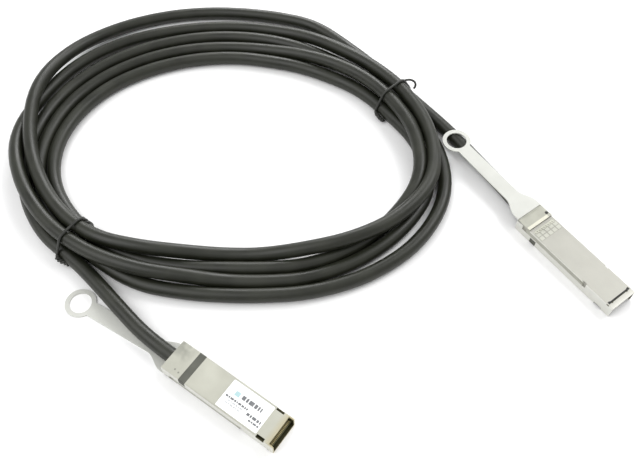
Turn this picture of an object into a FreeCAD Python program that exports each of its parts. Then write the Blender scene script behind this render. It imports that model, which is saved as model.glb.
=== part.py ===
import FreeCAD
import Part
import os
import math

# Direct attach copper cable: two pluggable ends, one long round cable laid
# in a tied hank.  Millimetres, +Z up.  Origin on the floor at the flat resting
# face of the far plug, between its gasket and its label.

V = FreeCAD.Vector
os.makedirs("parts", exist_ok=True)

# ---- plug: overall ----
PLUG_LENGTH = 72.4
PLUG_WIDTH = 18.35
PLUG_HEIGHT = 8.5
SHELL_EDGE = 0.4
SHELL_WALL = 1.1
AXIS_Z = PLUG_HEIGHT / 2
HALF_W = PLUG_WIDTH / 2
OVER_Z = PLUG_HEIGHT + 1
OVER_X = PLUG_LENGTH + 1
FIT = 0.05

# ---- plug: inside ----
CAVITY_X = 13.0
SIDE_WALL = 1.275
CAVITY_HALF = HALF_W - SIDE_WALL
NOSE_DEPTH = 14.9
NOSE_X = PLUG_LENGTH - NOSE_DEPTH
NOSE_WALL = 0.875
NOSE_HALF = HALF_W - NOSE_WALL
LIP_STEP = 2.9
LABEL_WALL_END = PLUG_LENGTH - LIP_STEP
CARD_THICK = 1.0
CARD_GAP = 0.1
CARD_REAR_X = 43.0
CARD_STEP_X = NOSE_X + 5 * CARD_GAP
CARD_SETBACK = 1.4
CARD_FRONT_X = PLUG_LENGTH - CARD_SETBACK
CARD_HALF = NOSE_HALF - CARD_GAP
LEDGE = 1.1
CARD_REAR_HALF = CAVITY_HALF - LEDGE
CARD_BEVEL = 0.3
PAD_PITCH = 0.8
PAD_WIDTH = 0.54
PAD_LENGTH = 4.6
PAD_THICK = 0.04
PADS = int((2 * CARD_HALF - 1.0) / PAD_PITCH)
FERRULE_R = 3.3
FERRULE_WALL = 0.4
FERRULE_X = (1.2, 11.5)
BUNDLE_R = 2.85
BUNDLE_SIDES = 12
BUNDLE_GAP = 0.15
FAN_X = 21.0
FAN_END_Z = 1.4
SCREW_X = 38.6
SCREW_IN = 3.575
SCREW_Y = HALF_W - SCREW_IN
SCREW_R = 0.8
SCREW_SIDES = 12
SCREW_HEAD_R = 1.5
SCREW_HEAD_H = 0.7
SCREW_TIP_Z = PLUG_HEIGHT - 1.9
BOSS_HALF = 1.7
RIB_X = (20.0, 27.0)
RIB_THICK = 0.9
RIB_HEIGHT = 0.7
FAN_HALF = CARD_REAR_HALF - 0.6
FAN_MID_Z = AXIS_Z - SHELL_WALL - RIB_HEIGHT - BUNDLE_GAP

# ---- plug: outside ----
LABEL_X = (35.2, 61.4)
LABEL_MARGIN = 0.975
LABEL_HALF = HALF_W - LABEL_MARGIN
LABEL_DEPTH = 0.15
LABEL_THICK = 0.12
BAND_X = (11.6, 15.9)
BAND_THICK = 0.4
RIM_IN = 0.455
RIM_Y = HALF_W - RIM_IN
RIM_W = 0.28
RIM_DEPTH = 0.15
NOTCH_X = (PLUG_LENGTH - 10.4, PLUG_LENGTH - 5.7)
NOTCH_DEPTH = 1.6
NOTCH_HEIGHT = 1.4
RIM_X = (16.6, NOTCH_X[0] - 0.3)
CSLOT_X = PLUG_LENGTH - 3.9
CSLOT_W = 0.8
CSLOT_DEPTH = 0.5
CSLOT_IN = 2.675
CSLOT_HALF = HALF_W - CSLOT_IN
CSLOT_END = 1.3
CLIP_X = (11.2, 14.6)
CLIP_THICK = 0.25
CLIP_IN = 1.575
CLIP_HALF = HALF_W - CLIP_IN
CLIP_FINGERS = 9
CLIP_FINGER_HALF = 0.5
CLIP_FINGER_RISE = 0.55

# ---- release slider and pull tab ----
ARM_THICK = 0.6
REST_DROP = 0.5
REST_Z = PLUG_HEIGHT - REST_DROP
ARM_HEIGHT = 3.0
ARM_Z = (REST_Z - ARM_HEIGHT, REST_Z)
ARM_FRONT_X = 51.4
ARM_RECESS = 0.8
ARM_WEDGE = 6.0
PLATE_REAR_X = 0.15
PLATE_TOP = PLUG_HEIGHT + 0.5
BAR_X = (7.4, 9.4)
BAR_TOP = PLUG_HEIGHT + 0.8
TRAVEL = 2.5
TONGUE_LENGTH = 5.0
TONGUE_HALF = 5.0
TONGUE_THICK = 0.25
LUG_X = 21.6
LUG_LEN = 1.4
SPRING_X = 14.0
SPRING_IN = 2.275
SPRING_Y = HALF_W - SPRING_IN
SPRING_Z = PLUG_HEIGHT - 1.9
SPRING_R = 0.85
SPRING_WIRE = 0.16
SPRING_TURNS = 5
SPRING_SIDES = 6
POCKET_HALF = 1.15
POCKET_IN = SPRING_Y - POCKET_HALF
TAB_FRONT_X = PLATE_REAR_X - FIT
TAB_TOP = PLUG_HEIGHT + 1.05
TAB_UNDER = PLUG_HEIGHT + 0.2
TAB_HALF = HALF_W - 0.175
TAB_NECK = 4.6
TAB_FLARE = (-3.0, -15.0)
RING_X = -65.3
RING_R = 8.7
RING_HOLE_R = 6.2

# ---- where the two plugs lie ----
SHIFT = V(-135.48, -233.66, 0)
NEAR_REAR = V(-76.9, 161.4, 0)
NEAR_YAW = -35.4
NEAR_LIFT = (TAB_TOP - PLUG_HEIGHT) / (1 - TAB_FRONT_X / PLUG_LENGTH) + 0.02
NEAR_PITCH = math.degrees(math.asin(NEAR_LIFT / PLUG_LENGTH))
NEAR_RING_Y = 4.6
FAR_REAR = V(122.57, 251.1, 0)
FAR_YAW = -53.5
FAR_RING_Y = 1.8

# ---- cable ----
CABLE_D = 8.5
CABLE_R = CABLE_D / 2
LANE = 8.9
COIL_CENTRE = V(-55.0, 306.0, 0)
COIL_MEAN = 94.6
COIL_WAVES = ((1, 6.1, -87.0), (2, 16.5, -7.0), (3, 4.0, -70.0))
STATIONS = 24
OUTER_LANES = (1.25, 1.6, 2.3, 3.25, 4.4, 4.85, 4.9, 5.0,
               5.15, 5.3, 4.95, 3.6, 3.07, 2.1, 2.1, 1.75,
               2.35, 2.75, 2.98, 2.98, 2.92, 2.75, 2.65, 2.5)
COIL_SKIN = 0.3
COIL_SLACK = 0.5
TIE_THICK = 0.8
TIE_WIDTH = 2.4
COIL_TOP = 18.2
COIL_ROUND = 4.0

NEAR_ROUTE = ((-76.95, 161.44, 5.32), (-93.0, 172.9, 5.61),
              (-116.5, 197.6, 5.5), (-138.5, 221.4, 4.6))
FAR_ROUTE = ((122.57, 251.1, 4.25), (107.6, 272.4, 4.25),
             (90.4, 304.4, 4.25), (69.6, 331.4, 4.25))
TIE_ANGLES = (218.4, 18.7)


def box(x0, x1, y0, y1, z0, z1):
    return Part.makeBox(x1 - x0, y1 - y0, z1 - z0, V(x0, y0, z0))


def both(x0, x1, y0, y1, z0, z1):
    return [box(x0, x1, y0, y1, z0, z1), box(x0, x1, -y1, -y0, z0, z1)]


def tube(x0, x1, r, y=0.0, z=AXIS_Z):
    return Part.makeCylinder(r, x1 - x0, V(x0, y, z), V(1, 0, 0))


def prism(points, height, z=0.0):
    wire = Part.makePolygon([V(x, y, z) for x, y in points] + [V(*points[0], z)])
    return Part.Face(wire).extrude(V(0, 0, height))


def eased_box(x0, x1, half, z0, z1, keep):
    body = box(x0, x1, -half, half, z0, z1)
    edges = []
    for edge in body.Edges:
        along = abs(edge.tangentAt(edge.FirstParameter).x) > 0.9
        if along and abs(edge.Vertexes[0].Z - keep) < 0.01:
            edges.append(edge)
    return body.makeChamfer(SHELL_EDGE, edges)


def shell_base():
    body = eased_box(0, PLUG_LENGTH, HALF_W, 0, AXIS_Z, 0)
    body = body.cut(box(CAVITY_X, NOSE_X, -CAVITY_HALF, CAVITY_HALF, SHELL_WALL, OVER_Z))
    body = body.cut(box(NOSE_X - 1, OVER_X, -NOSE_HALF, NOSE_HALF, SHELL_WALL, OVER_Z))
    adds = []
    for x in RIB_X:
        adds.append(box(x, x + RIB_THICK, -CAVITY_HALF, CAVITY_HALF, 0.5, SHELL_WALL + RIB_HEIGHT))
    ledge = AXIS_Z - CARD_THICK / 2
    adds += both(CARD_REAR_X + 1, NOSE_X, CARD_REAR_HALF - LEDGE, CAVITY_HALF, 0.5, ledge)
    adds += both(SCREW_X - BOSS_HALF, SCREW_X + BOSS_HALF, SCREW_Y - BOSS_HALF, CAVITY_HALF + 0.2, 0.5, AXIS_Z)
    body = body.fuse(adds)
    cuts = [box(LABEL_WALL_END, OVER_X, -NOSE_HALF, NOSE_HALF, -1, OVER_Z)]
    cuts.append(tube(-1, CAVITY_X + 1, FERRULE_R + FIT))
    cuts.append(box(*LABEL_X, -LABEL_HALF, LABEL_HALF, -1, LABEL_DEPTH))
    cuts += both(*RIM_X, RIM_Y - RIM_W / 2, RIM_Y + RIM_W / 2, -1, RIM_DEPTH)
    cuts += both(*NOTCH_X, HALF_W - NOTCH_DEPTH, HALF_W + 1, -1, NOTCH_HEIGHT)
    cuts += both(CARD_REAR_X, NOSE_X + 1, 0, CARD_REAR_HALF + FIT, ledge, OVER_Z)
    cuts.append(box(*BAND_X, -HALF_W - 1, HALF_W + 1, -1, BAND_THICK))
    cuts += both(*BAND_X, HALF_W - BAND_THICK, HALF_W + 1, -1, AXIS_Z + 1)
    for side in (-1, 1):
        at = V(SCREW_X, side * SCREW_Y, -1)
        cuts.append(Part.makeCylinder(SCREW_R + FIT, OVER_Z, at))
        seat = V(SCREW_X, side * SCREW_Y, LABEL_DEPTH)
        cuts.append(Part.makeCylinder(SCREW_HEAD_R + FIT, SCREW_HEAD_H, seat))
    for cut in cuts:
        body = body.cut(cut)
    return body.removeSplitter()


def shell_cover():
    body = eased_box(0, PLUG_LENGTH, HALF_W, AXIS_Z, PLUG_HEIGHT, PLUG_HEIGHT)
    roof = PLUG_HEIGHT - SHELL_WALL
    inner = HALF_W - ARM_RECESS - SHELL_WALL
    body = body.cut(box(24.5, NOSE_X, -inner, inner, 0, roof))
    body = body.cut(box(CAVITY_X, 25, -POCKET_IN + 0.8, POCKET_IN - 0.8, 0, roof))
    body = body.cut(box(NOSE_X - 1, OVER_X, -NOSE_HALF, NOSE_HALF, 0, roof))
    adds = both(SCREW_X - BOSS_HALF, SCREW_X + BOSS_HALF, SCREW_Y - BOSS_HALF, inner + 0.2, AXIS_Z, roof + 0.5)
    adds.append(box(30, 31, -inner, inner, roof - 0.8, roof + 0.5))
    body = body.fuse(adds)
    cuts = [tube(-1, CAVITY_X + 1, FERRULE_R + FIT)]
    cuts += both(BAR_X[0] - TRAVEL - 0.4, ARM_FRONT_X + 0.4, HALF_W - ARM_RECESS, HALF_W + 1,
                 ARM_Z[0] - FIT, ARM_Z[1] + FIT)
    cuts += both(ARM_FRONT_X - 0.6, ARM_FRONT_X + 2.0, HALF_W - ARM_RECESS, HALF_W + 1,
                 ARM_Z[0] - FIT, PLUG_HEIGHT + 1)
    cuts.append(box(-1, BAR_X[1] + 0.25, -HALF_W - 1, HALF_W + 1, REST_Z, OVER_Z))
    cuts += both(BAR_X[0] - TRAVEL - 0.4, BAR_X[1] + 0.25, HALF_W - ARM_RECESS, HALF_W + 1,
                 ARM_Z[1], OVER_Z)
    cuts += both(SPRING_X, LUG_X + LUG_LEN + 0.2, SPRING_Y - POCKET_HALF, HALF_W,
                 SPRING_Z - POCKET_HALF, SPRING_Z + POCKET_HALF)
    z = PLUG_HEIGHT - CSLOT_DEPTH
    cuts.append(box(CSLOT_X, CSLOT_X + CSLOT_W, -CSLOT_HALF, CSLOT_HALF, z, OVER_Z))
    ends = CSLOT_X + (CSLOT_W - CSLOT_END) / 2
    cuts += both(ends, ends + CSLOT_END, CSLOT_HALF - CSLOT_END, CSLOT_HALF, z, OVER_Z)
    cuts.append(box(*CLIP_X, -CLIP_HALF, CLIP_HALF, PLUG_HEIGHT - CLIP_THICK, OVER_Z))
    for side in (-1, 1):
        at = V(SCREW_X, side * SCREW_Y, 0)
        cuts.append(Part.makeCylinder(SCREW_R + FIT, SCREW_TIP_Z + 0.3, at))
    for cut in cuts:
        body = body.cut(cut)
    return body.removeSplitter()


def paddle_card():
    z = AXIS_Z - CARD_THICK / 2
    card = box(CARD_REAR_X, CARD_FRONT_X, -CARD_REAR_HALF, CARD_REAR_HALF, z, z + CARD_THICK)
    nose = box(CARD_STEP_X, CARD_FRONT_X, -CARD_HALF, CARD_HALF, z, z + CARD_THICK)
    card = card.fuse(nose).removeSplitter()
    edges = []
    for edge in card.Edges:
        a, b = edge.Vertexes[0].Point, edge.Vertexes[-1].Point
        if abs(a.x - CARD_FRONT_X) < 0.01 and abs(b.x - CARD_FRONT_X) < 0.01 and abs(a.z - b.z) < 0.01:
            edges.append(edge)
    card = card.makeChamfer(CARD_BEVEL, edges)
    pads = []
    x0 = CARD_FRONT_X - CARD_BEVEL - 0.2 - PAD_LENGTH
    for i in range(PADS):
        y = (i - (PADS - 1) / 2) * PAD_PITCH
        for side in (z - PAD_THICK, z + CARD_THICK - 0.1):
            pads.append(box(x0, x0 + PAD_LENGTH, y - PAD_WIDTH / 2, y + PAD_WIDTH / 2,
                            side, side + 0.1 + PAD_THICK))
    return card.fuse(pads)


def wire_bundle():
    # twisted pairs: round through the crimp, then spread flat to the card
    turn = CAVITY_X
    ring = []
    for i in range(BUNDLE_SIDES):
        t = 2 * math.pi * (i + 0.5) / BUNDLE_SIDES
        ring.append(V(0, BUNDLE_R * math.cos(t), AXIS_Z + BUNDLE_R * math.sin(t)))
    neck = Part.Face(Part.makePolygon(ring + ring[:1])).extrude(V(turn, 0, 0))
    end = CARD_REAR_X
    waist = SCREW_Y - BOSS_HALF - BUNDLE_GAP
    plan = [(turn, BUNDLE_R), (FAN_X, waist), (SCREW_X + BOSS_HALF + BUNDLE_GAP, waist), (end, FAN_HALF)]
    plan += [(x, -y) for x, y in reversed(plan)]
    rise = [(turn, AXIS_Z + BUNDLE_R), (FAN_X, AXIS_Z + FAN_MID_Z), (end, AXIS_Z + FAN_END_Z)]
    rise += [(x, 2 * AXIS_Z - z) for x, z in reversed(rise)]
    fan = prism(plan, 2 * PLUG_HEIGHT).common(side_sheet(rise))
    return neck.fuse(fan).removeSplitter()


def ferrule():
    outer = tube(*FERRULE_X, FERRULE_R)
    return outer.cut(tube(-1, 20, FERRULE_R - FERRULE_WALL))


def emi_band():
    inset = 0.02
    outer = eased_box(BAND_X[0] + FIT, BAND_X[1] - FIT, HALF_W - inset, inset, AXIS_Z - FIT, inset)
    inner = box(0, 20, -HALF_W + BAND_THICK, HALF_W - BAND_THICK, BAND_THICK, OVER_Z)
    return outer.cut(inner)


def emi_clip():
    z0 = PLUG_HEIGHT - CLIP_THICK
    plate = box(CLIP_X[0] + FIT, CLIP_X[1] - FIT, -CLIP_HALF + FIT, CLIP_HALF - FIT, z0, z0 + 0.2)
    fingers = []
    step = (2 * CLIP_HALF - 1.6) / (CLIP_FINGERS - 1)
    for i in range(CLIP_FINGERS):
        y = -CLIP_HALF + 0.8 + i * step
        profile = [(CLIP_X[0] + 0.5, z0), (CLIP_X[1] - 0.4, z0), (CLIP_X[1] - 1.1, z0 + CLIP_FINGER_RISE),
                   (CLIP_X[0] + 1.3, z0 + CLIP_FINGER_RISE)]
        loop = [V(x, y - CLIP_FINGER_HALF, z) for x, z in profile + profile[:1]]
        fingers.append(Part.Face(Part.makePolygon(loop)).extrude(V(0, 2 * CLIP_FINGER_HALF, 0)))
    return plate.fuse(fingers)


def slider():
    half = HALF_W - 0.1
    clear = TRAVEL + 0.2
    side = [(PLATE_REAR_X, TAB_UNDER), (PLATE_REAR_X, PLATE_TOP), (BAR_X[0], PLATE_TOP), (BAR_X[0], BAR_TOP),
            (BAR_X[1], BAR_TOP), (BAR_X[1], REST_Z + FIT), (clear, REST_Z + FIT), (clear, TAB_UNDER)]
    plate = prism([(-1, -half), (OVER_X, -half), (OVER_X, half), (-1, half)], OVER_Z).common(side_sheet(side))
    arms = [box(PLATE_REAR_X - TONGUE_LENGTH, PLATE_REAR_X + 1, -TONGUE_HALF, TONGUE_HALF,
                TAB_UNDER + 0.2, TAB_UNDER + 0.2 + TONGUE_THICK)]
    for side in (-1, 1):
        y = sorted((side * half, side * (half - ARM_THICK)))
        arms.append(box(BAR_X[0], ARM_FRONT_X, y[0], y[1], *ARM_Z))
        arms.append(box(*BAR_X, y[0], y[1], ARM_Z[0], BAR_TOP - 0.2))
        y = sorted((side * (half - 0.1), side * (POCKET_IN + 0.25)))
        arms.append(box(LUG_X, LUG_X + LUG_LEN, y[0], y[1], SPRING_Z - 0.9, SPRING_Z + 0.9))
        tip = [(ARM_FRONT_X - ARM_WEDGE, side * (half - ARM_THICK)), (ARM_FRONT_X, side * (half - ARM_THICK)),
               (ARM_FRONT_X, side * (half + 0.35)), (ARM_FRONT_X - 1.2, side * (half + 0.35)),
               (ARM_FRONT_X - ARM_WEDGE, side * half)]
        arms.append(prism(tip, 1.6, ARM_Z[0] + 0.2))
    return plate.fuse(arms).removeSplitter()


def spring(side):
    length = LUG_X - SPRING_X - 2 * SPRING_WIRE - 0.04
    count = SPRING_TURNS * SPRING_SIDES
    points = []
    for i in range(count + 1):
        t = 2 * math.pi * i / SPRING_SIDES
        points.append(V(SPRING_R * math.cos(t), SPRING_R * math.sin(t), length * i / count))
    path = Part.makePolygon(points)
    ring = []
    for i in range(4):
        t = math.pi / 2 * i
        ring.append(V(math.cos(t), 0, math.sin(t)) * SPRING_WIRE)
    turn = FreeCAD.Rotation(V(0, 1, 0), points[1] - points[0])
    ring = [points[0] + turn.multVec(p) for p in ring]
    coil = path.makePipeShell([Part.makePolygon(ring + ring[:1])], True, False, 1)
    coil.Placement = FreeCAD.Placement(V(SPRING_X + SPRING_WIRE + 0.02, side * SPRING_Y, SPRING_Z),
                                       FreeCAD.Rotation(V(0, 1, 0), 90))
    return coil


def screw(side):
    ring = []
    for i in range(SCREW_SIDES):
        t = 2 * math.pi * i / SCREW_SIDES
        ring.append((SCREW_R * math.cos(t), SCREW_R * math.sin(t)))
    shank = prism(ring, SCREW_TIP_Z - LABEL_DEPTH, LABEL_DEPTH)
    head = Part.makeCylinder(SCREW_HEAD_R, SCREW_HEAD_H, V(0, 0, LABEL_DEPTH))
    body = shank.fuse(head)
    body.translate(V(SCREW_X, side * SCREW_Y, 0))
    return body


def label():
    z1 = LABEL_DEPTH
    plate = box(LABEL_X[0] + 0.1, LABEL_X[1] - 0.1, -LABEL_HALF + 0.1, LABEL_HALF - 0.1,
                z1 - LABEL_THICK, z1)
    edges = [e for e in plate.Edges if abs(e.tangentAt(e.FirstParameter).z) > 0.9]
    return plate.makeFillet(0.6, edges)


def pull_tab(ring_y, slope):
    reach = RING_X - RING_R
    pts = [(TAB_FRONT_X, TAB_HALF)]
    steps = 8
    for i in range(steps + 1):
        t = i / steps
        x = TAB_FLARE[0] + t * (TAB_FLARE[1] - TAB_FLARE[0])
        ease = t * t * (3 - 2 * t)
        pts.append((x, TAB_HALF + ease * (TAB_NECK - TAB_HALF)))
    pts.append((RING_X + 5.5, TAB_NECK - 0.2))
    outline = []
    for x, y in pts:
        outline.append((x, y + bend(x, ring_y)))
    for x, y in reversed(pts):
        outline.append((x, -y + bend(x, ring_y)))
    plan = prism(outline, 20)
    plan = plan.fuse(Part.makeCylinder(RING_R, 20, V(RING_X, ring_y, 0)))
    body = plan.common(sloped_sheet(TAB_FRONT_X, reach - 1, TAB_UNDER, TAB_TOP, slope))
    back = PLATE_REAR_X - TONGUE_LENGTH - FIT
    body = body.cut(box(back, OVER_X, -TONGUE_HALF - FIT, TONGUE_HALF + FIT,
                        TAB_UNDER + 0.2 - FIT, TAB_UNDER + 0.2 + TONGUE_THICK + FIT))
    return body.cut(Part.makeCylinder(RING_HOLE_R, 40, V(RING_X, ring_y, 0))).removeSplitter()


def side_sheet(points):
    loop = [V(x, -20, z) for x, z in points + points[:1]]
    return Part.Face(Part.makePolygon(loop)).extrude(V(0, 40, 0))


def sloped_sheet(x0, x1, low, high, slope):
    return side_sheet([(x0, high - slope * x0), (x1, high - slope * x1), (x1, low - slope * x1),
                       (x0, low - slope * x0)])


def bend(x, ring_y):
    t = min(1.0, max(0.0, x / RING_X))
    return ring_y * t * t


def build_plug(name, place, ring_y, slope, labelled):
    nodes = {
        "shell_base": shell_base(), "shell_cover": shell_cover(), "paddle_card": paddle_card(),
        "wire_bundle": wire_bundle(), "crimp_ferrule": ferrule(), "emi_band": emi_band(),
        "emi_clip": emi_clip(), "release_slider": slider(), "pull_tab": pull_tab(ring_y, slope),
        "return_spring_left": spring(1), "return_spring_right": spring(-1),
        "shell_screw_left": screw(1), "shell_screw_right": screw(-1),
    }
    if labelled:
        nodes["label_plate"] = label()
    for key, shape in nodes.items():
        shape.Placement = place.multiply(shape.Placement)
        save(name + "_" + key, shape)


def save(name, shape):
    if not shape.isValid():
        print("INVALID", name)
    solids = len(shape.Solids)
    box_ = shape.BoundBox
    print("%-28s solids %d volume %9.1f z %.2f..%.2f" % (name, solids, shape.Volume, box_.ZMin, box_.ZMax))
    shape.exportStep("parts/" + name + ".step")


def corner(before, point, after):
    a = before - point
    b = after - point
    half = (math.pi - a.getAngle(b)) / 2
    cut = 0.45 * min(a.Length, b.Length)
    radius = cut / math.tan(half)
    a.normalize()
    b.normalize()
    middle = a + b
    middle.normalize()
    mid = point + middle * (radius / math.cos(half) - radius)
    return point + a * cut, mid, point + b * cut, radius


def route_tube(name, points):
    pts = [V(*p) + SHIFT for p in points]
    edges = []
    at = pts[0]
    for i in range(1, len(pts) - 1):
        start, mid, end, radius = corner(pts[i - 1], pts[i], pts[i + 1])
        edges.append(Part.makeLine(at, start))
        edges.append(Part.Arc(start, mid, end).toShape())
        print(name, "bend radius %.1f" % radius)
        at = end
    edges.append(Part.makeLine(at, pts[-1]))
    path = Part.Wire(edges)
    ring = Part.Wire(Part.makeCircle(CABLE_R, pts[0], pts[1] - pts[0]))
    body = path.makePipeShell([ring], True, False)
    print(name, "volume %.1f, section x length %.1f" % (body.Volume, math.pi * CABLE_R ** 2 * path.Length))
    return body


def coil_point(angle, lane):
    t = math.radians(angle)

    def ring(q):
        r = COIL_MEAN + sum(a * math.cos(k * q - math.radians(p)) for k, a, p in COIL_WAVES)
        return COIL_CENTRE + V(math.cos(q), math.sin(q), 0) * r
    along = ring(t + 0.001) - ring(t - 0.001)
    out = V(along.y, -along.x, 0)
    out.normalize()
    return ring(t) + out * lane + SHIFT


def coil_ring(offsets, z):
    points = []
    for i in range(2 * STATIONS):
        before, after = offsets[i // 2], offsets[(i + 1) // 2 % STATIONS]
        point = coil_point(i * 180 / STATIONS, (before + after) / 2)
        points.append(V(point.x, point.y, z))
    return Part.makePolygon(points + points[:1])


def coil_wall(offsets, bevel):
    inset = [offset - bevel for offset in offsets]
    low, high, size = TIE_THICK, COIL_TOP, abs(bevel)
    levels = [(inset, low), (offsets, low + size), (offsets, high - size), (inset, high)]
    return Part.makeLoft([coil_ring(o, z) for o, z in levels], True, True)


def cable_coil():
    edge = CABLE_R + COIL_SKIN
    outer = coil_wall([lane * LANE + edge for lane in OUTER_LANES], COIL_ROUND)
    inner = coil_wall([-edge - COIL_SLACK] * STATIONS, -COIL_ROUND)
    return outer.cut(inner)


def twist_tie(coil, angle):
    across = coil_point(angle, 30) - coil_point(angle, -10)
    across.normalize()
    along = V(0, 0, 1).cross(across)
    middle = coil_point(angle, 10)
    reach = []
    for shift in (-TIE_WIDTH / 2, 0, TIE_WIDTH / 2):
        wires = coil.slice(along, along.dot(middle) + shift)
        near = min(wires, key=lambda w: (w.BoundBox.Center - V(middle.x, middle.y, 9)).Length)
        reach += [(p - middle).dot(across) for p in near.discretize(200)]
    low, high = min(reach) - FIT, max(reach) + FIT
    outer = loop_block(low - TIE_THICK, high + TIE_THICK, TIE_WIDTH, 0,
                       COIL_TOP + TIE_THICK, COIL_ROUND + TIE_THICK * 0.586)
    inner = loop_block(low, high, 3 * TIE_WIDTH, TIE_THICK, COIL_TOP, COIL_ROUND - 2 * FIT)
    band = outer.cut(inner)
    turn = math.degrees(math.atan2(across.y, across.x))
    band.Placement = FreeCAD.Placement(V(middle.x, middle.y, 0), FreeCAD.Rotation(V(0, 0, 1), turn))
    return band


def loop_block(x0, x1, width, z0, z1, r):
    body = box(x0, x1, -width / 2, width / 2, z0, z1)
    edges = [e for e in body.Edges if abs(e.tangentAt(e.FirstParameter).y) > 0.9]
    return body.makeChamfer(r, edges)


def place_near():
    turn = FreeCAD.Rotation(V(0, 0, 1), NEAR_YAW)
    turn = turn.multiply(FreeCAD.Rotation(V(0, 1, 0), NEAR_PITCH))
    turn = turn.multiply(FreeCAD.Rotation(V(1, 0, 0), 180))
    return FreeCAD.Placement(NEAR_REAR + SHIFT + V(0, 0, PLUG_HEIGHT + NEAR_LIFT), turn)


def place_far():
    return FreeCAD.Placement(FAR_REAR + SHIFT, FreeCAD.Rotation(V(0, 0, 1), FAR_YAW))


build_plug("near", place_near(), NEAR_RING_Y, NEAR_LIFT / PLUG_LENGTH, True)
build_plug("far", place_far(), FAR_RING_Y, 0.0, False)
coil = cable_coil()
save("cable_coil", coil)
save("near_lead", route_tube("near_lead", NEAR_ROUTE))
save("far_lead", route_tube("far_lead", FAR_ROUTE))
for number, angle in enumerate(TIE_ANGLES, 1):
    save("twist_tie_%d" % number, twist_tie(coil, angle))
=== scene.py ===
import math

import bmesh
import bpy
from mathutils import Euler, Matrix, Vector
from mathutils.geometry import convex_hull_2d


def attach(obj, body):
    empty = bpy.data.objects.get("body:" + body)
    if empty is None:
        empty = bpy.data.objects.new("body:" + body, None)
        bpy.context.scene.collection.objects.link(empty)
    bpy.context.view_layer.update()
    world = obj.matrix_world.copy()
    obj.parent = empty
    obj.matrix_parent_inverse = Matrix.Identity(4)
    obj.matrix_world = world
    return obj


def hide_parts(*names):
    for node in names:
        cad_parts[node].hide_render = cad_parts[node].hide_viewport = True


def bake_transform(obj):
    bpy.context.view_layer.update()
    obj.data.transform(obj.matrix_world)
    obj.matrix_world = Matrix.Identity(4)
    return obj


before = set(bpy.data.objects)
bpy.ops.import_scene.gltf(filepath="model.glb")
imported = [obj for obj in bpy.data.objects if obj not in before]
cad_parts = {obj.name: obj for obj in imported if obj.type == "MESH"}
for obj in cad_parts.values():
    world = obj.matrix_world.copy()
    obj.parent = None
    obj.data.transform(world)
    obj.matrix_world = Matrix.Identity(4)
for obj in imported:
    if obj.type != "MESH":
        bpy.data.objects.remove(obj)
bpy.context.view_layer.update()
print("frame loaded", len(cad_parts), "nodes")

# the drawing is in millimetres, and this point of it is the frame's origin
sheetOrigin = Vector((135.48, 233.66, 0.0))


def fromSheet(x, y, z):
    return (Vector((x, y, z)) - sheetOrigin) / 1000


def addObject(name, data):
    item = bpy.data.objects.new(name, data)
    bpy.context.scene.collection.objects.link(item)
    return item


# seen from the front and above, as laid out on a table
camera = {
    "place": (-0.13548, -0.23366, 0.3768),
    "tilt": 33.0,
    "lens": 42.75,
    "sensor": 36.0,
    "nearest": 0.01,
}
cameraData = bpy.data.cameras.new("viewCamera")
cameraData.lens = camera["lens"]
cameraData.sensor_width = camera["sensor"]
cameraData.clip_start = camera["nearest"]
viewCamera = addObject("viewCamera", cameraData)
viewCamera.location = camera["place"]
viewCamera.rotation_euler = (math.radians(camera["tilt"]), 0, 0)
bpy.context.scene.camera = viewCamera
print("camera set")


def newWire(name, roundness):
    curve = bpy.data.curves.new(name, "CURVE")
    curve.dimensions = "3D"
    curve.bevel_depth = 1  # each point's own radius sets the size
    curve.bevel_resolution = roundness
    curve.use_fill_caps = True
    return curve


def addSpline(curve, points, radius, closed=False, smoothness=4):
    # points in metres, the radius in millimetres
    spline = curve.splines.new("NURBS")
    spline.points.add(len(points) - 1)
    for point, place in zip(spline.points, points):
        point.co = (*place, 1)
        point.radius = radius / 1000
    spline.order_u = 3
    spline.use_endpoint_u = not closed
    spline.use_cyclic_u = closed
    spline.resolution_u = smoothness


def curveMesh(curve):
    # the wire's skin, or only its middle line where the curve has no bevel
    holder = addObject(curve.name, curve)
    view = bpy.context.evaluated_depsgraph_get()
    mesh = bpy.data.meshes.new_from_object(holder.evaluated_get(view))
    bpy.data.objects.remove(holder)
    return mesh


# one long round cable, laid in four turns and a half
cable = {
    "radius": 4.25,
    "lane": 8.9,  # from one turn to the next beside it
    "rise": 7.6,  # from one turn to the next on top
    "centre": (-55.0, 306.0),
    # the hank's inner line is a circle with waves: how many, how high, and where they crest
    "mean": 94.6,
    "waves": ((1, 6.1, -87.0), (2, 16.5, -7.0), (3, 4.0, -70.0)),
    "slack": 1.00428,  # points stand out a little, because the smooth line runs inside them
    "length": 3.39,
}
# points from the near plug to the hank and from the hank to the far plug
nearRun = (
    (-76.95, 161.44, 5.32),
    (-92.4, 172.42, 5.6),
    (-108.2, 188.6, 5.6),
    (-123.4, 205.0, 5.1),
    (-139.8, 221.4, 4.4),
)
farRun = (
    (70.5, 331.2, 4.25),
    (80.56, 318.29, 4.25),
    (89.6, 305.07, 4.25),
    (99.35, 289.9, 4.25),
    (110.87, 272.3, 4.25),
    (118.26, 259.11, 4.25),
    (122.57, 251.1, 4.25),
)
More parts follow.
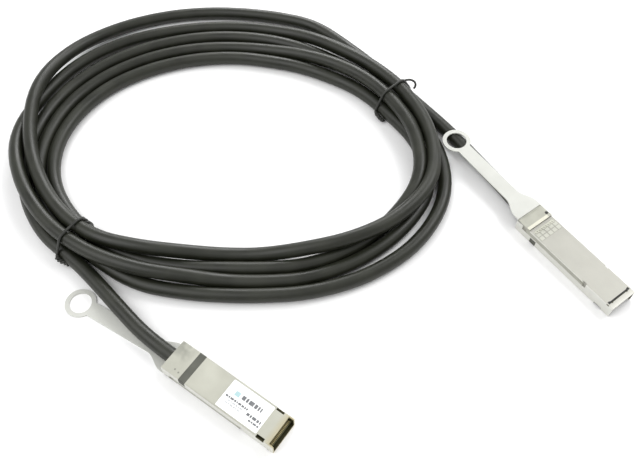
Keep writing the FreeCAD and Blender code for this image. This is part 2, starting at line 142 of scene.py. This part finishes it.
# at each angle round the hank: the lane and level of each turn, the fifth only half a turn
turnLanes = {
    210: ((2.1, 0), (1.05, 0), (0, 0), (1.6, 1), (0.5, 1)),
    195: ((2.1, 0), (1.1, 0), (0.12, 0), (2.05, 1.3), (0.85, 1.2)),
    180: ((2.1, 0), (1.13, 0), (0.17, 0), (3.07, 0.63), (1.9, 1.25)),
    165: ((2.25, 0), (1.2, 0), (0.12, 0), (3.45, 0), (3.6, 1.38)),
    150: ((2.25, 0), (1.15, 0), (0.05, 0), (3.72, 0), (4.95, 0.45)),
    135: ((2.2, 0), (1.05, 0), (-0.1, 0), (3.6, 0), (5.3, 0)),
    120: ((2.15, 0), (1, 0), (-0.15, 0), (3.35, 0), (5.15, 0)),
    105: ((2.2, 0), (1, 0), (-0.1, 0), (3.3, 0), (5, 0)),
    90: ((2.22, 0), (1.05, 0), (0, 0), (3.35, 0), (4.9, 0)),
    75: ((2.2, 0), (1.07, 0.1), (0, 0), (3.3, 0.05), (4.85, 0)),
    60: ((1.97, 0), (1, 0.4), (0.05, 0), (3, 0.4), (4.68, 0)),
    45: ((1.47, 0), (0.7, 0.85), (-0.1, 0), (2.15, 0.95), (3.38, 0)),
    30: ((1.15, 0), (0.5, 1.02), (-0.12, 0), (1.7, 1.12), (2.3, 0)),
    15: ((1.03, 0), (0.22, 1.08), (-0.28, 0), (1.4, 1.22)),
    0: ((1.75, 0), (0.28, 1.2), (0.5, 0), (1.33, 1.2)),
    -15: ((2.48, 0), (0.56, 0.84), (1.33, 0), (1.46, 1.29)),
    -30: ((2.65, 0), (0.17, 0.05), (1.23, 0), (0.78, 1.17)),
    -45: ((2.75, 0), (0.5, 0), (1.52, 0), (0.35, 1.2)),
    -60: ((2.92, 0), (0.98, 0), (1.95, 0), (0.07, 0.75)),
    -75: ((2.98, 0), (1.05, 0), (2.02, 0), (0.05, 0.05)),
    -90: ((2.98, 0), (1.06, 0), (2.02, 0.1), (0.08, 0.05)),
    -105: ((2.75, 0), (0.99, 0), (1.84, 0.65), (0.06, 0.5)),
    -120: ((2.35, 0), (0.75, 0), (1.75, 1.05), (0.22, 1.1)),
    -135: ((1.27, 0), (0.27, 0), (1.6, 1.2), (0.5, 1.2)),
}


def hankLine(angle):
    reach = cable["mean"]
    for count, size, phase in cable["waves"]:
        reach += size * math.cos(count * angle - math.radians(phase))
    return Vector(cable["centre"]) + reach * Vector((math.cos(angle), math.sin(angle)))


def hankOutward(angle):
    step = 0.001
    along = hankLine(angle + step) - hankLine(angle - step)
    return Vector((along.y, -along.x)).normalized()


def hankPoint(degrees, lane, level):
    angle = math.radians(degrees)
    middle = Vector(cable["centre"])
    place = hankLine(angle) + hankOutward(angle) * lane * cable["lane"]
    spot = middle + (place - middle) * cable["slack"]
    return (spot.x, spot.y, cable["radius"] + level * cable["rise"])


def cablePoints():
    points = list(nearRun)
    for turn in range(max(len(row) for row in turnLanes.values())):
        for degrees in sorted(turnLanes, reverse=True):
            row = turnLanes[degrees]
            if turn < len(row):
                points.append(hankPoint(degrees, *row[turn]))
    points += farRun
    return [fromSheet(*p) for p in points]


route = cablePoints()
cableCurve = newWire("cableJacket", roundness=6)
addSpline(cableCurve, route, cable["radius"], smoothness=6)
cableJacket = addObject("cableJacket", cableCurve)
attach(cableJacket, "cable_assembly")
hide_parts("near_lead", "cable_coil", "far_lead")
print("cable laid", len(route), "points")


def hexColor(text):
    # sRGB to linear
    parts = [int(text[i:i + 2], 16) / 255 for i in (1, 3, 5)]
    return tuple(c / 12.92 if c <= 0.04045 else ((c + 0.055) / 1.055) ** 2.4 for c in parts) + (1.0,)


def addNode(material, kind, inputs=None, **settings):
    # an input may be another node's socket, a hex colour or a plain value
    tree = material.node_tree
    node = tree.nodes.new("ShaderNode" + kind)
    for name, value in settings.items():
        setattr(node, name, value)
    for name, value in (inputs or {}).items():
        if isinstance(value, bpy.types.NodeSocket):
            tree.links.new(value, node.inputs[name])
        else:
            node.inputs[name].default_value = hexColor(value) if isinstance(value, str) else value
    return node


def newMaterial(name):
    material = bpy.data.materials.new(name)
    material.use_nodes = True
    material.node_tree.nodes.clear()
    return material


def surfaceTones(material, place, colors, roughness, grain, depth, spread):
    # grain is the size of the surface's own texture in millimetres: its tone
    # drifts over patches 26 times as wide, and it stands a quarter as high
    patch, height = grain * 26, grain / 4
    broad = addNode(material, "TexNoise", {"Vector": place, "Scale": 1000 / patch, "Detail": 3.0})
    fine = addNode(material, "TexNoise", {"Vector": place, "Scale": 1000 / grain, "Detail": 2.0})
    drift = (0.3, 0.7)  # the noise where the surface is darkest and palest
    tone = addNode(material, "ValToRGB", {"Fac": broad.outputs["Fac"]})
    for element, spot, color in zip(tone.color_ramp.elements, drift, colors):
        element.position = spot
        element.color = hexColor(color)
    rough = addNode(material, "MapRange", {
        "Value": broad.outputs["Fac"], "From Min": drift[0], "From Max": drift[1],
        "To Min": roughness - spread, "To Max": roughness + spread})
    bump = addNode(material, "Bump", {
        "Height": fine.outputs["Fac"], "Strength": depth, "Distance": height / 1000})
    return tone.outputs["Color"], rough.outputs["Result"], bump.outputs["Normal"]


def giveShader(material, tones, sockets):
    tone, rough, normal = tones
    shader = addNode(material, "BsdfPrincipled", {
        "Base Color": tone, "Roughness": rough, "Normal": normal, **sockets})
    addNode(material, "OutputMaterial", {"Surface": shader.outputs["BSDF"]})


def makeSatin(name, colors, roughness, grain, depth, spread=0.06, **sockets):
    material = newMaterial(name)
    place = addNode(material, "TexCoord").outputs["Object"]
    tones = surfaceTones(material, place, colors, roughness, grain, depth, spread)
    giveShader(material, tones, sockets)
    return material


# where each plug lies: its rear end on the drawing and how it is turned, in degrees
plugs = {
    "near": {"rear": (-76.9, 161.4, 9.5715), "turn": (180.0, 0.848, -35.4)},
    "far": {"rear": (122.57, 251.1, 0.0), "turn": (0.0, 0.0, -53.5)},
}


def plugFrame(end):
    turn = Euler([math.radians(a) for a in plugs[end]["turn"]])
    return Matrix.Translation(fromSheet(*plugs[end]["rear"])) @ turn.to_matrix().to_4x4()


def alongPlug(material, end):
    # object coordinates turned to the plug's own: X from its rear to its nose
    place = addNode(material, "TexCoord").outputs["Object"]
    turned = addNode(material, "Mapping", {
        "Vector": place, "Location": fromSheet(*plugs[end]["rear"]),
        "Rotation": [math.radians(a) for a in plugs[end]["turn"]]}, vector_type="TEXTURE").outputs["Vector"]
    axes = addNode(material, "SeparateXYZ", {"Vector": turned}).outputs
    return turned, {axis: axes[axis] for axis in "XYZ"}


def addLayer(material, tone, measures, color, *fades):
    # a colour where all its fades agree; a fade is what it measures, from and to in
    # metres on the plug, and its share at both ends where they aren't 0 and 1
    mask = None
    for measure, start, end, *shares in fades:
        low, high = shares or (0.0, 1.0)
        fade = addNode(material, "MapRange", {
            "Value": measures[measure], "From Min": start, "From Max": end,
            "To Min": low, "To Max": high}).outputs["Result"]
        if mask is None:
            mask = fade
        else:
            mask = addNode(material, "Math", {0: mask, 1: fade}, operation="MULTIPLY").outputs[0]
    # a colour mix takes its share at 0 and its colours at 6 and 7, and gives them at 2
    return addNode(material, "Mix", {0: mask, 6: tone, 7: color}, data_type="RGBA").outputs[2]


# nickel plated zinc die casting: pale warm satin metal, the near one mottled darker at its rear with a
# painted straw reflection of the gold contacts on its nose lip, the far one paler along its front lip;
# both with painted highlight on their long sides and painted shade in the mouth, notches and slot
paintedRecessShade = "#353214"
casting = {
    "metallic": 0.3,
    "texture": {"roughness": 0.42, "grain": 0.6, "depth": 0.1, "spread": 0.05},
    "cloudSize": 8.33,  # in millimetres
    "near": {
        "colors": ("#b2b2a6", "#bdbdb1"),
        "layers": ("cloud", "paintedStrawReflection", "rim", "mouth", "notch", "slot"),
    },
    "far": {
        # the same metal as the near casting, in darker tones: painted shade that holds back the stronger
        # light on the far plug
        "colors": ("#9d9c94", "#a8a79f"),
        "layers": ("paleLip", "rim", "mouth", "notch", "slot"),
    },
}
castLayers = {
    "cloud": ("#82837a", ("clouds", 0.4, 0.6), ("X", 0.006, 0.0115, 0.8, 0.0),
              ("Y", -0.007, 0.004, 1.0, 0.25)),
    # a painted straw reflection of the gold contacts on the near nose lip
    "paintedStrawReflection": ("#b9ad84", ("X", 0.066, 0.0705, 0.0, 0.75)),
    "paleLip": ("#d2d2cb", ("X", 0.0692, 0.0737, 0.0, 0.75)),
    # rim: painted highlight on the long sides of the casting
    "rim": ("#d9d9d2", ("side", 0.00878, 0.00908, 0.0, 0.8)),
    # mouth, notch and slot: painted shade in the hollows of the nose
    "mouth": (paintedRecessShade, ("X", 0.0575, 0.058), ("side", 0.00836, 0.0083),
              ("Z", 0.00108, 0.00112), ("Z", 0.00752, 0.00748)),
    "notch": (paintedRecessShade, ("X", 0.06185, 0.0619), ("X", 0.06685, 0.0668), ("side", 0.00745, 0.0075),
              ("Z", 0.00004, 0.0002), ("Z", 0.0016, 0.00155)),
    "slot": (paintedRecessShade, ("X", 0.0681, 0.06815), ("X", 0.0697, 0.06965),
             ("Z", 0.0079, 0.00795), ("Z", 0.00845, 0.0083)),
}


def makeCasting(end):
    material = newMaterial("nickelDieCast" + end.capitalize())
    place, measures = alongPlug(material, end)
    measures["side"] = addNode(material, "Math", {0: measures["Y"]}, operation="ABSOLUTE").outputs[0]
    if "cloud" in casting[end]["layers"]:
        clouds = addNode(material, "TexNoise", {
            "Vector": place, "Scale": 1000 / casting["cloudSize"], "Detail": 2.0})
        measures["clouds"] = clouds.outputs["Fac"]
    tone, *finish = surfaceTones(material, place, casting[end]["colors"], **casting["texture"])
    for layer in casting[end]["layers"]:
        tone = addLayer(material, tone, measures, *castLayers[layer])
    giveShader(material, (tone, *finish), {"Metallic": casting["metallic"]})
    return material


# stamped spring steel, paler on the top of its raised strip
slider = {
    "metallic": 0.35,
    "colors": ("#9a9a8f", "#a8a89d"),
    "texture": {"roughness": 0.38, "grain": 0.3, "depth": 0.08, "spread": 0.05},
    "strip": ("#c6c5b6", ("X", 0.0073, 0.00745), ("X", 0.0095, 0.00935),
              ("Z", 0.00905, 0.0092), ("Y", 0.0068, 0.0066)),
}


def makeSlider(end):
    material = newMaterial("sliderSteel" + end.capitalize())
    place, measures = alongPlug(material, end)
    tone, *finish = surfaceTones(material, place, slider["colors"], **slider["texture"])
    tone = addLayer(material, tone, measures, *slider["strip"])
    giveShader(material, (tone, *finish), {"Metallic": slider["metallic"]})
    return material


# plain surfaces: two tones, roughness, grain in millimetres, depth, and the shader's own sockets
satins = {
    # extruded PVC: a matt charcoal skin with a faint drawn grain
    "pvcJacket": {"colors": ("#171910", "#23251b"), "roughness": 0.42, "grain": 0.5, "depth": 0.3,
                  "IOR": 1.47},
    # stamped spring steel: smooth, greyer, a little brighter in its gloss
    "stampedSteel": {"colors": ("#a6a69a", "#b4b4a8"), "roughness": 0.38, "grain": 0.3, "depth": 0.08,
                     "Metallic": 0.4},
    # milky moulded thermoplastic: lets some light through
    "milkyTab": {"colors": ("#c0c1bb", "#cccdc7"), "roughness": 0.4, "grain": 0.8, "depth": 0.1, "IOR": 1.49,
                 "Subsurface Weight": 0.35, "Subsurface Radius": (0.002, 0.002, 0.002)},
    # conductive elastomer: dark grey, matt and filled
    "elastomerBand": {"colors": ("#4e4f48", "#5d5e56"), "roughness": 0.7, "grain": 0.3, "depth": 0.3,
                      "Metallic": 0.1},
    # polyester label film: white and even
    "labelFilm": {"colors": ("#f4f5f4", "#fafafa"), "roughness": 0.4, "grain": 0.4, "depth": 0.05},
    # glass epoxy card under solder mask: olive and half glossy
    "solderMask": {"colors": ("#3b3a1c", "#4a4724"), "roughness": 0.4, "grain": 0.2, "depth": 0.1},
    # hard gold over nickel: smooth, pale yellow contact pads
    "hardGold": {"colors": ("#c0b080", "#d0c396"), "roughness": 0.3, "grain": 0.2, "depth": 0.05,
                 "Metallic": 0.8},
    # drawn copper: a bare, bright crimp
    "crimpCopper": {"colors": ("#a8714a", "#c08558"), "roughness": 0.35, "grain": 0.3, "depth": 0.1,
                    "Metallic": 1.0},
    # aluminium foil wrapped round the pairs: bright and creased
    "foilWrap": {"colors": ("#9a9a96", "#b8b8b4"), "roughness": 0.38, "grain": 0.8, "depth": 0.4,
                 "Metallic": 0.9},
    # black vinyl over wire: dull and smooth
    "tieCoat": {"colors": ("#20211d", "#2b2c27"), "roughness": 0.5, "grain": 0.3, "depth": 0.15},
    # printing inks: flat and even on the label
    "greyInk": {"colors": ("#636568", "#76787b"), "roughness": 0.5, "grain": 0.1, "depth": 0.02},
    "paleInk": {"colors": ("#b4b7b9", "#c2c5c7"), "roughness": 0.5, "grain": 0.1, "depth": 0.02},
    "blueInk": {"colors": ("#9fc0c4", "#b2ced1"), "roughness": 0.5, "grain": 0.1, "depth": 0.02},
    # thin rolled steel: bright leaves over a duller seat
    "leafSteel": {"colors": ("#a9a99f", "#b5b5ab"), "roughness": 0.36, "grain": 0.3, "depth": 0.06,
                  "Metallic": 0.35},
    "seatSteel": {"colors": ("#8e8e86", "#9a9a91"), "roughness": 0.5, "grain": 0.3, "depth": 0.06,
                  "Metallic": 0.35},
    # bare zinc where the casting was pushed from its mould: small dull spots
    "castStain": {"colors": ("#7c7d74", "#8b8c83"), "roughness": 0.6, "grain": 0.2, "depth": 0.1,
                  "Metallic": 0.2},
    # shaded steel down a bore or a slot: nearly black
    "blackBore": {"colors": ("#1c1c1a", "#262624"), "roughness": 0.6, "grain": 0.2, "depth": 0.1,
                  "Metallic": 0.2},
    # seamless paper: white, even and quite matt
    "seamlessPaper": {"colors": ("#f6f6f6", "#f9f9f9"), "roughness": 0.9, "grain": 2.0, "depth": 0.02},
}
satin = {name: makeSatin(name, **look) for name, look in satins.items()}

cableJacket.data.materials.append(satin["pvcJacket"])
finishes = {
    "paddle_card": satin["solderMask"],
    "wire_bundle": satin["foilWrap"],
    "crimp_ferrule": satin["crimpCopper"],
    "emi_band": satin["elastomerBand"],
    "emi_clip": satin["stampedSteel"],
    "pull_tab": satin["milkyTab"],
    "return_spring": satin["stampedSteel"],
    "shell_screw": satin["stampedSteel"],
    "label_plate": satin["labelFilm"],
    "cable_coil": satin["pvcJacket"],
    "_lead": satin["pvcJacket"],
    "twist_tie": satin["tieCoat"],
}
for end in plugs:
    finishes[end + "_shell_base"] = finishes[end + "_shell_cover"] = makeCasting(end)
    finishes[end + "_release_slider"] = makeSlider(end)
for name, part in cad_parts.items():
    part.data.materials.clear()
    part.data.materials.append(next(finish for words, finish in finishes.items() if words in name))
print("finishes given")


def addPiece(name, mesh, end, body, slot, *materialNames):
    # a piece drawn in one plug's own place
    bmesh.ops.recalc_face_normals(mesh, faces=mesh.faces)
    data = bpy.data.meshes.new(name)
    mesh.to_mesh(data)
    mesh.free()
    data.transform(plugFrame(end))
    for materialName in materialNames:
        data.materials.append(satin[materialName])
    piece = addObject(name, data)
    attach(piece, body)


def addBlock(mesh, low, high, ink=0):
    # corners in millimetres on the plug
    size = [(b - a) / 1000 for a, b in zip(low, high)]
    middle = Vector([(a + b) / 2000 for a, b in zip(low, high)])
    place = Matrix.Translation(middle) @ Matrix.Diagonal((*size, 1))
    made = bmesh.ops.create_cube(mesh, size=1.0, matrix=place)
    for face in {f for v in made["verts"] for f in v.link_faces}:
        face.material_index = ink


def addDisc(mesh, spot, radii, thickness, segments):
    # in millimetres on the plug, with the radii of its lower and upper faces
    bmesh.ops.create_cone(mesh, cap_ends=True, segments=segments,
                          radius1=radii[0] / 1000, radius2=radii[1] / 1000,
                          depth=thickness / 1000, matrix=Matrix.Translation(Vector(spot) / 1000))


# plain printing: rows of dashes and one patch, with no lettering
labelPrint = {
    "face": (0.018, 0.029),
    "patch": (40.0, 42.9, -4.0, -1.3),
    # start, end, middle across, height and ink of each row
    "rows": ((44.4, 56.8, -2.8, 2.3, 0), (36.6, 50.6, 0.9, 1.1, 0), (39.2, 48.2, 2.5, 0.9, 1),
             (38.6, 47.6, 4.0, 0.9, 1), (51.4, 60.9, 2.7, 1.5, 0), (54.0, 60.6, 4.9, 1.0, 0)),
    "dashes": (1.5, 0.9, 2.1, 1.2, 0.7, 1.8),
    "gap": 0.35,
    "shortest": 0.4,
}
printMesh = bmesh.new()
lowFace, highFace = labelPrint["face"]
dashes = labelPrint["dashes"]
for start, end, middle, height, ink in labelPrint["rows"]:
    dashStretch, gapStretch = 0.6 + height / 3, 0.5 + height / 2  # both longer in a taller row
    x, count = start, 0
    while x < end - labelPrint["shortest"]:
        stop = min(end, x + dashes[count % len(dashes)] * dashStretch)
        addBlock(printMesh, (x, middle - height / 2, lowFace), (stop, middle + height / 2, highFace), ink)
        x, count = stop + labelPrint["gap"] * gapStretch, count + 1
x0, x1, y0, y1 = labelPrint["patch"]
addBlock(printMesh, (x0, y0, lowFace), (x1, y1, highFace), ink=2)
addPiece("labelPrint", printMesh, "near", "cable_assembly", "label_film", "greyInk", "paleInk", "blueInk")
print("label printed")

# gold skins over the card's contacts, above and below
contacts = {
    "count": 19,
    "pitch": 0.8,
    "width": 0.56,
    "reach": (65.85, 70.52),
    "levels": ((3.69, 3.712), (4.788, 4.81)),
}
for end in plugs:
    padMesh = bmesh.new()
    rear, front = contacts["reach"]
    for low, high in contacts["levels"]:
        addBlock(padMesh, (rear, -contacts["width"] / 2, low), (front, contacts["width"] / 2, high))
    first = padMesh.verts[:] + padMesh.edges[:] + padMesh.faces[:]
    for number in range(1, contacts["count"] // 2 + 1):
        for side in (-1, 1):
            copy = bmesh.ops.duplicate(padMesh, geom=first)["geom"]
            moved = [g for g in copy if isinstance(g, bmesh.types.BMVert)]
            bmesh.ops.translate(padMesh, verts=moved, vec=(0, side * number * contacts["pitch"] / 1000, 0))
    addPiece(end + "ContactSkins", padMesh, end, "cable_assembly", "crimp_copper", "hardGold")

# the far plug's wide spring leaves on top, with the thin seat under them
leaves = {
    "level": 8.5,
    "seat": (12.75, 18.85, 8.4),  # start, end and half width
    "seatThickness": 0.012,
    "rows": ((13.0, 15.7), (16.2, 18.6)),
    "each": 5,
    "width": 2.7,
    "pitch": 3.35,
    "height": 0.09,
    "sunk": 0.02,
    "bevel": 0.04,
}
level = leaves["level"]
seatMesh = bmesh.new()
start, end, half = leaves["seat"]
addBlock(seatMesh, (start, -half, level), (end, half, level + leaves["seatThickness"]))
addPiece("farLeafSeat", seatMesh, "far", "cable_assembly", "spring_steel", "seatSteel")
leafMesh = bmesh.new()
for start, end in leaves["rows"]:
    for number in range(leaves["each"]):
        middle = (number - leaves["each"] // 2) * leaves["pitch"]
        addBlock(leafMesh, (start, middle - leaves["width"] / 2, level - leaves["sunk"]),
                 (end, middle + leaves["width"] / 2, level + leaves["height"]))
bmesh.ops.bevel(leafMesh, geom=leafMesh.edges[:], offset=leaves["bevel"] / 1000, offset_type="OFFSET",
                affect="EDGES", segments=2, profile=0.5, material=-1)
addPiece("farSpringLeaves", leafMesh, "far", "cable_assembly", "spring_steel", "leafSteel")

# the slot across the far plug's nose, with its square ends: a thin dark sheet on the top, painted shade
# where the slot is
noseSlot = {"level": 8.5, "thickness": 0.012, "across": (68.15, 68.95, 6.7), "ends": (67.75, 69.25, 1.5)}
low, high = noseSlot["level"], noseSlot["level"] + noseSlot["thickness"]
slotMesh = bmesh.new()
start, end, half = noseSlot["across"]
addBlock(slotMesh, (start, -half, low), (end, half, high))
start, end, width = noseSlot["ends"]
for side in (-1, 1):
    right, left = sorted((side * half, side * (half + width)))
    addBlock(slotMesh, (start, right, low), (end, left, high))
addPiece("farNoseSlotShade", slotMesh, "far", "cable_assembly", "shell_metal", "blackBore")

# a small bore in each slider's plate: a thin dark disc, painted shade down the bore
bore = {"spot": (6.4, 7.8, 9.0), "radius": 1.05, "thickness": 0.04}
for end in plugs:
    boreMesh = bmesh.new()
    addDisc(boreMesh, bore["spot"], (bore["radius"], bore["radius"]), bore["thickness"], segments=24)
    addPiece(end + "PlateBoreShade", boreMesh, end, end + "_release", "spring_steel", "blackBore")

# round cast marks behind the near plug's band, half sunk in the metal
marks = {"spots": ((6.8, 5.7, 0.0), (9.4, 6.1, 0.0)), "radii": (0.48, 0.6), "thickness": 0.05}
markMesh = bmesh.new()
for spot in marks["spots"]:
    addDisc(markMesh, spot, marks["radii"], marks["thickness"], segments=20)
addPiece("nearCastMarks", markMesh, "near", "cable_assembly", "shell_metal", "castStain")
print("plugs dressed")

# each slider's return springs: wire coils between the shell and the slider's lugs,
# which shorten as the tab is pulled
springs = {
    "start": 14.18,
    "end": 21.42,
    "side": 6.9,
    "level": 6.6,
    "radius": 0.85,
    "wire": 0.16,
    "turns": 5,
    "steps": 8,  # points for each turn
}


def springPoints(end, side):
    count = springs["turns"] * springs["steps"]
    points = []
    for step in range(count + 1):
        turn = 2 * math.pi * step / springs["steps"]
        along = springs["start"] + (springs["end"] - springs["start"]) * step / count
        spot = (along, side * springs["side"] + springs["radius"] * math.cos(turn),
                springs["level"] + springs["radius"] * math.sin(turn))
        points.append(plugFrame(end) @ (Vector(spot) / 1000))
    return points


for end in plugs:
    for hand, side in (("left", 1), ("right", -1)):
        coilCurve = newWire(end + "Coil", roundness=2)
        addSpline(coilCurve, springPoints(end, side), springs["wire"])
        coilMesh = curveMesh(coilCurve)
        bpy.data.curves.remove(coilCurve)
        coilMesh.materials.clear()
        coilMesh.materials.append(satin["stampedSteel"])
        coil = addObject(end + "ReturnSpring" + hand.capitalize(), coilMesh)
        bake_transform(coil)
        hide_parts(end + "_return_spring_" + hand)
print("springs wound")

# coated wire ties: each hugs the turns where it lies, its ends twisted or curled
# a tail leaves the loop at its height above the floor, and its line is rows of
# (outward, up, along) in millimetres from there, with its two wires a gap from it
ties = {
    "twistTieOne": {
        "node": "twist_tie_1", "angle": 218.4, "wire": 0.85,
        "outer": {
            "height": 7.0, "turns": 2.5, "gap": 0.8,
            "line": ((0, 0, 0), (0.9, -0.6, 1.2), (0.9, -1.6, 3.5), (0, -2.2, 6.0), (-0.6, -2.6, 8.2)),
        },
        "inner": {
            "height": 12.5, "turns": 3, "gap": 0.75,
            "line": ((0.5, 0, 0), (0.4, 0, -1.0), (0.1, -0.8, 1.5), (0.3, -2.2, 5.0), (0.9, -3.8, 9.0)),
        },
    },
    "twistTieTwo": {
        "node": "twist_tie_2", "angle": 18.7, "wire": 0.8,
        "outer": {
            "height": 15.5, "turns": 0, "gap": 0,
            "line": ((0, 0, 0), (2.8, -0.6, -0.6), (5.8, -2.0, -1.6),
                     (7.8, -4.4, -3.0), (7.2, -6.4, -4.4), (5.2, -6.8, -4.8)),
        },
        "inner": {
            "height": 4.5, "turns": 3, "gap": 0.75,
            "line": ((0, 0, 0), (-0.6, -0.6, -2.0), (-0.8, -1.4, -5.0), (-0.4, -2.0, -8.5)),
        },
    },
}
wrap = {
    "nearby": 60.0,  # turns further out than this are on the hank's other side
    "step": 20,  # degrees between the points round each turn
    "twistSteps": 8,  # points for each run of a twisted tail
    "opening": 6,  # points over which its two wires part
    "lowest": 0.8,
    "tailWire": 0.9,  # its thickness as a share of the loop's
}


def cableLine():
    bare = cableCurve.copy()
    bare.bevel_depth = 0
    line = curveMesh(bare)
    points = [v.co.copy() for v in line.vertices]
    bpy.data.curves.remove(bare)
    bpy.data.meshes.remove(line)
    return points


def tieLoop(line, angle, wire):
    # the tight outline of the turns in the upright plane across them
    turn = math.radians(angle)
    outward = hankOutward(turn).to_3d()
    forward = Vector((0, 0, 1)).cross(outward)
    middle = fromSheet(*hankLine(turn), 0)
    cuts = []
    for a, b in zip(line, line[1:]):
        sideA, sideB = (a - middle).dot(forward), (b - middle).dot(forward)
        nearby = abs((a - middle).dot(outward)) < wrap["nearby"] / 1000
        if sideA * sideB <= 0 and sideA != sideB and nearby:
            spot = a.lerp(b, sideA / (sideA - sideB)) - middle
            cuts.append(Vector((spot.dot(outward), spot.z)))
    reach = (cable["radius"] + wire) / 1000
    rim = [cut + reach * Vector((math.cos(math.radians(q)), math.sin(math.radians(q))))
           for cut in cuts for q in range(0, 360, wrap["step"])]
    loop = [rim[i] for i in convex_hull_2d(rim)]
    return [(p.x, max(p.y, wire / 1000)) for p in loop], (middle, outward, forward)


def tailPoints(tail, start, axes, swing):
    # one wire of a twisted pair, half a turn from the other
    middle, outward, forward = axes
    line = [Vector(p) / 1000 for p in tail["line"]]
    runs = len(line) - 1
    steps = (wrap["twistSteps"] if tail["turns"] else 1) * runs
    places = []
    for step in range(steps + 1):
        share = step / steps * runs
        index = min(int(share), runs - 1)
        spot = line[index].lerp(line[index + 1], share - index)
        spin = 2 * math.pi * tail["turns"] * step / steps + swing
        part = tail["gap"] / 1000 * min(1.0, step / wrap["opening"])
        spot = spot + Vector((math.cos(spin), math.sin(spin), 0)) * part
        height = max(wrap["lowest"] / 1000, start[1] + spot.y)
        places.append(middle + outward * (start[0] + spot.x) + Vector((0, 0, height)) + forward * spot.z)
    return places


turnLine = cableLine()
for name, tie in ties.items():
    tieCurve = newWire(name, roundness=3)
    loop, axes = tieLoop(turnLine, tie["angle"], tie["wire"])
    loopPoints = [axes[0] + axes[1] * x + Vector((0, 0, z)) for x, z in loop]
    addSpline(tieCurve, loopPoints, tie["wire"], closed=True)
    for place, side in (("outer", 1), ("inner", -1)):
        tail = tie[place]
        height = tail["height"] / 1000
        # the loop's point furthest to that side, nearness to the height counting double
        start = max(loop, key=lambda p: side * p[0] - 2 * abs(p[1] - height))
        for swing in ((0, math.pi) if tail["turns"] else (0,)):
            addSpline(tieCurve, tailPoints(tail, start, axes, swing), tie["wire"] * wrap["tailWire"])
    tieCurve.materials.append(satin["tieCoat"])
    tieObject = addObject(name, tieCurve)
    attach(tieObject, "cable_assembly")
    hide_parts(tie["node"])
print("ties wrapped")

# paper under the cable
floor = {"size": 6.0}
floorMesh = bmesh.new()
bmesh.ops.create_grid(floorMesh, x_segments=2, y_segments=2, size=floor["size"] / 2)
floorData = bpy.data.meshes.new("paperFloor")
floorMesh.to_mesh(floorData)
floorMesh.free()
floorData.materials.append(satin["seamlessPaper"])
paperFloor = addObject("paperFloor", floorData)

# a soft white room with broad panels to the right, behind, and at the front left
room = {"strength": 0.68}
world = bpy.data.worlds.new("softRoom")
world.use_nodes = True
background = world.node_tree.nodes["Background"]
background.inputs["Color"].default_value = (1, 1, 1, 1)
background.inputs["Strength"].default_value = room["strength"]
bpy.context.scene.world = world
lamps = {
    "windowPanel": {"place": (1.28, 0.85, 1.75), "aim": (-0.12, 0.05, 0), "size": 1.1, "power": 22},
    "backPanel": {"place": (0.0, 1.95, 0.95), "aim": (-0.1, 0, 0), "size": 1.0, "power": 25},
    "fillPanel": {"place": (-1.2, -0.5, 1.6), "aim": (-0.1, 0, 0), "size": 1.6, "power": 20},
}
for name, lamp in lamps.items():
    lampData = bpy.data.lights.new(name, "AREA")
    lampData.size = lamp["size"]
    lampData.energy = lamp["power"]
    lampObject = addObject(name, lampData)
    lampObject.location = lamp["place"]
    aim = Vector(lamp["aim"]) - Vector(lamp["place"])
    lampObject.rotation_euler = aim.to_track_quat("-Z", "Y").to_euler()
bpy.context.scene.view_settings.view_transform = "Standard"
print("room lit")

bpy.context.view_layer.update()
